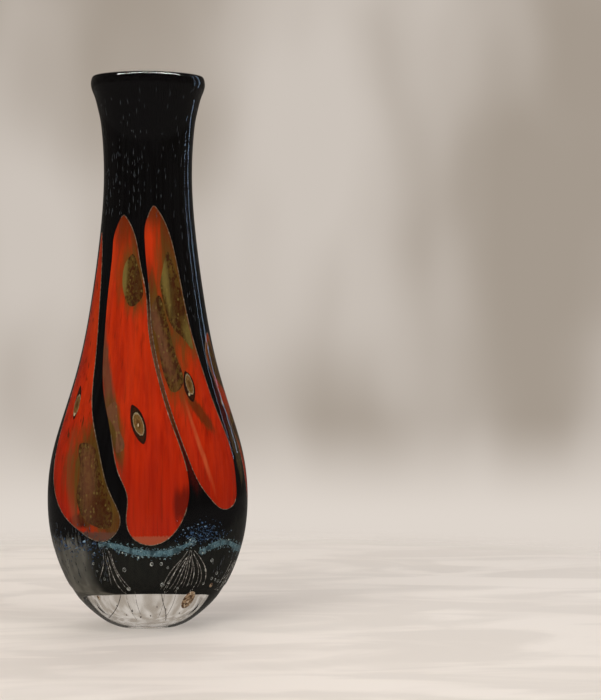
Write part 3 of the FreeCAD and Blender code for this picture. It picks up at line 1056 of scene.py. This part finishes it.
petalLooks = {
    "petal_left": {"seed": 1.0, "chips": ["olive_left"], "glow": 0.8, "lines": 0.75,
                   "foot": (53, 54.5, "footBrown"),
                   "clouds": [
                       ("brown", (-51, 101, 10, 14, 0), 0.6, 0.9),
                       ("olive", (-42, 80, 17, 25, -0.35), 0.25, 0.9),
                       ("brown", (-32, 57, 14, 6, 0), 0.3, 0.95),
                       ("maroon", (-58, 60, 8, 4, 0.3), 0.3, 0.95),
                       # a thin salmon streak on the left lobe: a painted highlight
                       ("salmon", (-66, 76, 3, 26, -0.15), 0.5, 0.5)]},
    "petal_front": {"seed": 2.3, "chips": ["olive_front_tip", "olive_front_strip"], "glow": 0.8,
                    "lines": 0.3, "foot": (51.3, 51.9, "salmon"),
                    "clouds": [
                        ("brown", (-34, 226, 28, 20, 0), 0.5, 0.8),
                        ("brown", (-16, 200, 10, 30, 0), 0.4, 0.7),
                        ("taupe", (-45, 128, 5.5, 36, -0.4), 0.35, 0.9),
                        ("redBrown", (-35, 104, 3.5, 14, -0.5), 0.4, 0.7),
                        ("maroon", (34, 68, 9, 9, 0), 0.45, 0.7)]},
    "petal_right_front": {"seed": 3.7, "chips": ["olive_right_front", "olive_right_band"], "glow": 0.7,
                          "lines": 0.3, "clouds": [
        ("brown", (10, 231, 26, 15, 0), 0.5, 0.85),
        ("brown", (38, 205, 15, 26, -0.4), 0.35, 0.9),
        ("brown", (8, 170, 8, 26, -0.2), 0.35, 0.8),
        ("brown", (54, 117, 5, 10, -0.9), 0.35, 0.85),
        # a thin pale orange streak on this petal: a painted highlight
        ("paleOrange", (50, 100, 1.6, 20, -0.35), 0.5, 0.6)]},
    "petal_right": {"seed": 4.1, "chips": ["olive_right_top", "olive_right_streak"], "glow": 0.5,
                    "lines": 0.25, "clouds": [
        ("redBrown", (104, 82, 3, 24, -0.6), 0.5, 0.6)]},
    "petal_right_back": {"seed": 5.9, "chips": ["olive_right_back"], "glow": 0.6, "clouds": [
        ("brown", (112, 226, 20, 20, 0), 0.4, 0.9)]},
    "petal_back": {"seed": 6.4, "chips": ["olive_back"], "glow": 0.7, "foot": (55, 56, "salmon"), "clouds": [
        ("brown", (-146, 224, 22, 22, 0), 0.4, 0.9)]},
    "petal_left_back": {"seed": 7.7, "chips": ["olive_left_back"], "glow": 0.6, "clouds": [
        ("brown", (-104, 214, 12, 18, 0), 0.4, 0.9)]},
}
chipLooks = {
    "olive_left": {"seed": 11.0, "clouds": [
        ("taupe", (-54, 78, 6, 22, -0.1), 0.5, 0.6), ("redBrown", (-46, 66, 8, 10, 0), 0.5, 0.7)]},
    "olive_front_tip": {"seed": 12.0, "clouds": [
        ("paleOlive", (-37, 192, 5, 13, 0.1), 0.6, 0.8), ("redBrown", (-16, 186, 7, 9, 0), 0.5, 0.6)]},
    "olive_front_strip": {"seed": 13.0, "clouds": [("taupe", (-38, 116, 9, 26, -0.5), 0.4, 0.85)]},
    "olive_right_front": {"seed": 14.0, "clouds": [
        ("paleOlive", (26, 190, 6, 19, -0.4), 0.6, 0.75), ("paleOlive", (54, 158, 6, 10, -0.4), 0.6, 0.6),
        ("redBrown", (41, 176, 8, 12, -0.4), 0.5, 0.6)]},
    "olive_right_band": {"seed": 15.0, "clouds": [("taupe", (15, 160, 7, 24, -0.6), 0.6, 0.75)]},
    "olive_right_top": {"seed": 16.0},
    "olive_right_streak": {"seed": 17.0},
    "olive_right_back": {"seed": 18.0},
    "olive_back": {"seed": 19.0, "clouds": [("paleOlive", (-155, 186, 4, 14, 0), 0.4, 0.6)]},
    "olive_left_back": {"seed": 20.0},
}
# each cane slice: half angle and lean of its leaf, then its heart: how far over, how far up, and
# its share of the leaf's width and height; last, how far the cream bead lies below its middle
murrinaLooks = {
    "murrina_left": (5.0, 0.0, (0.5, -1.2, 0.62, 0.62), 5.2),
    "murrina_front": (7.2, -0.52, (0.3, 0.2, 0.82, 0.6), 0.6),
    "murrina_right_front": (5.0, -0.24, (0.0, 1.2, 0.72, 0.7), 5.4),
    "murrina_right": (4.6, -0.12, (0.0, 0.5, 0.8, 0.75), 3.6),
    "murrina_right_back": (5.0, 0.2, (0.0, 0.5, 0.75, 0.6), 0.6),
    "murrina_back": (5.0, 0.3, (0.0, 0.5, 0.75, 0.6), 4.2),
}


def murrinaOval(name):
    # the leaf's oval on the wall, from the middle and the height of its node's box
    low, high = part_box(name)
    middle = [(low[axis] + high[axis]) / 2 for axis in range(3)]
    halfAngle, lean, heart, beadDrop = murrinaLooks[name]
    angle = math.degrees(math.atan2(middle[0], -middle[1]))
    return (angle, middle[2] * 1000, halfAngle, (high[2] - low[2]) * 500, lean), heart, beadDrop


def camel(name):
    first, *rest = name.split("_")
    return first + "".join(word.capitalize() for word in rest) + "Glass"


fritGlass = crumbMaterial("fritGlass", paint(10, 26, 46), paint(40, 76, 112), paint(132, 158, 176),
                          0.36, 3.0)
for name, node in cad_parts.items():
    if name in petalLooks:
        setMaterial(node, petalMaterial(camel(name), petalLooks[name]))
    elif name in chipLooks:
        setMaterial(node, oliveMaterial(camel(name), chipLooks[name]))
    elif name in murrinaLooks:
        setMaterial(node, murrinaMaterial(camel(name), *murrinaOval(name)))
    elif name.startswith("trail"):
        setMaterial(node, trailMaterial(camel(name), float(len(name))))
    elif name.startswith("frit"):
        setMaterial(node, fritGlass)

air = airMaterial()
seedGlass = crumbMaterial("seedGlass", paint(18, 22, 26), paint(58, 64, 70), paint(140, 146, 150),
                          0.22, 8.0)
threadGlass = crumbMaterial("threadGlass", paint(70, 66, 60), paint(132, 126, 118),
                            paint(190, 186, 176), 0.4, 6.0)
newLooks = (
    (clearCasing, clearGlassMaterial(), "clear_glass"),
    (blackOverlay, coreMaterial("overlayGlass", 21.0), "black_glass"),
    (smokeCoat, coreMaterial("smokeGlass", 21.0), "smoke_glass"),
    (innerGather, crumbMaterial("gatherGlass", paint(12, 12, 12), paint(24, 24, 22),
                                paint(34, 34, 32), 0.4, 2.0, 0.12), "charcoal_glass"),
    (airSeeds, seedGlass, "clear_glass"),
    # the bubbles' pale tones: painted reflection and painted highlight
    (baseBubbles, crumbMaterial("bubbleGlass", paint(96, 98, 92), paint(150, 152, 146),
                                paint(222, 222, 214), 0.4, 9.0), "clear_glass"),
    (footBubbles, air, "clear_glass"),
    (airThreads, threadGlass, "clear_glass"),
    (baseThreads, threadGlass, "clear_glass"),
    (fritDust, fritGlass, "frit_glass"),
    (trailCrumbs, crumbMaterial("crumbGlass", paint(48, 66, 72), glass["trailBlue"],
                                glass["trailPale"], 0.35, 4.0), "trail_glass"),
    (petalOutlines, crumbMaterial("outlineGlass", paint(58, 46, 30), glass["rimGold"],
                                  paint(170, 158, 138), 0.3, 5.0), "olive_glass"),
    (brownPebble, crumbMaterial("pebbleGlass", paint(70, 44, 22), paint(150, 124, 96),
                                paint(190, 172, 146), 0.4, 7.0), "olive_glass"),
)
for piece, material, slot in newLooks:
    setMaterial(piece, material)
print("materials made")


# studio

studio = {
    "distance": 1.1, "eyeHeight": 0.1508, "lens": 103.2, "turnRight": 4.345,
    "floor": paint(232, 223, 214), "vein": paint(220, 211, 202), "fade": (0.36, 0.62),
    "wall": paint(164, 153, 141), "wallPale": paint(204, 195, 186), "low": paint(222, 213, 204),
    "mirrored": 0.18,            # how much of the backdrop's light shows in reflections
    "ambient": 0.06,             # and how much of it falls on the vase
}


def buildFloor():
    # a veined pale floor that fades softly into the backdrop
    deselectAll()
    bpy.ops.mesh.primitive_plane_add(size=2)
    floor = rename(bpy.context.object, "floor")
    floor.scale = (0.8, 0.8, 1)
    floor.location = (0, 0, -0.0002)
    applyAll(floor)
    material, tree, shader = newMaterial("floorPaint", studio["floor"], 0.6, 0.2)
    position = objectPosition(tree)
    mottle = noise(tree, stretch(tree, position, (7, 16, 0)), 1.0, 4.0, Distortion=1.2)
    veined = ramp(tree, mottle, 0.4, 0.6)
    tree.links.new(blend(tree, veined, studio["vein"], studio["floor"]), shader.inputs["Base Color"])
    away = addNode(tree, "ShaderNodeVectorMath", {
        0: stretch(tree, position, (1, 1, 0))}, operation="LENGTH").outputs["Value"]
    faded = ramp(tree, away, *studio["fade"])
    mixed = addNode(tree, "ShaderNodeMixShader", {
        0: faded, 1: shader.outputs[0], 2: addNode(tree, "ShaderNodeBsdfTransparent").outputs[0]})
    tree.links.new(mixed.outputs[0], tree.nodes["Material Output"].inputs["Surface"])
    floor.visible_glossy = False
    setMaterial(floor, material)


def addLamp(name, place, aim, size, power, tint, glossy=False):
    lamp = bpy.data.lights.new(name, "AREA")
    lamp.shape = "RECTANGLE"
    lamp.size, lamp.size_y = size
    lamp.energy = power
    lamp.color = tint
    holder = bpy.data.objects.new(name, lamp)
    bpy.context.collection.objects.link(holder)
    holder.location = place
    holder.rotation_euler = (Vector(aim) - Vector(place)).to_track_quat("-Z", "Y").to_euler()
    holder.visible_glossy = glossy
    holder.visible_camera = False
    holder.visible_transmission = glossy
    return holder


buildFloor()
addLamp("keySoftbox", (-0.7, -1.35, 1.2), (0, 0, 0.12), (1.2, 1.2), 25, (1.0, 0.98, 0.95))
addLamp("fillSoftbox", (1.1, -1.2, 0.8), (0, 0, 0.12), (1.0, 1.2), 10, (0.97, 0.98, 1.0))
addLamp("ceilingSoftbox", (0.1, 0.1, 1.5), (0, 0, 0), (1.6, 1.4), 12, (1.0, 0.98, 0.96))
lipStrip = addLamp("lipStrip", (0, -0.5, 1.05), (0, 0, 0.3), (2.0, 0.12), 24, (1, 1, 1), glossy=True)
lipStrip.visible_diffuse = False
addLamp("coolStrip", (0.55, 0.27, 0.42), (0, 0, 0.2), (0.03, 0.5), 0.16, (0.5, 0.68, 1.0), glossy=True)
addLamp("thinStrip", (0.6, 0.08, 0.42), (0, 0, 0.2), (0.012, 0.5), 0.1, (0.5, 0.68, 1.0), glossy=True)
addLamp("backFill", (0.2, 1.6, 0.9), (0, 0, 0.12), (1.2, 1.0), 12, (1.0, 0.98, 0.96))


def buildWorld():
    # a mottled warm grey all round, paler low down; dim in reflections and as a light
    world = bpy.data.worlds.new("studioWorld")
    bpy.context.scene.world = world
    world.use_nodes = True
    tree = world.node_tree
    direction = addNode(tree, "ShaderNodeTexCoord").outputs["Generated"]
    clouds = noise(tree, stretch(tree, direction, (11, 11, 5), (0.6, 0, 0.3)), 1.0, 2.0, Roughness=0.4)
    colour = blend(tree, ramp(tree, clouds, 0.34, 0.66), studio["wall"], studio["wallPale"])
    rise = addNode(tree, "ShaderNodeSeparateXYZ", {0: direction}).outputs["Z"]
    colour = blend(tree, ramp(tree, rise, -0.03, -0.085), colour, studio["low"])
    rays = addNode(tree, "ShaderNodeLightPath")
    seen = calc(tree, "MAXIMUM", rays.outputs["Is Camera Ray"], rays.outputs["Is Transmission Ray"])
    mirrored = calc(tree, "MULTIPLY", rays.outputs["Is Glossy Ray"], studio["mirrored"])
    strength = calc(tree, "MAXIMUM", calc(tree, "MAXIMUM", seen, mirrored), studio["ambient"])
    backdrop = tree.nodes["Background"]
    tree.links.new(colour, backdrop.inputs["Color"])
    tree.links.new(strength, backdrop.inputs["Strength"])


buildWorld()
cameraData = bpy.data.cameras.new("studioCamera")
camera = bpy.data.objects.new("studioCamera", cameraData)
bpy.context.collection.objects.link(camera)
camera.location = (0, -studio["distance"], studio["eyeHeight"])
camera.rotation_euler = (math.radians(90), 0, -math.radians(studio["turnRight"]))
cameraData.lens = studio["lens"]
cameraData.sensor_width = 36
cameraData.dof.use_dof = False
bpy.context.scene.camera = camera
bpy.context.scene.view_settings.view_transform = "Standard"
print("studio set")
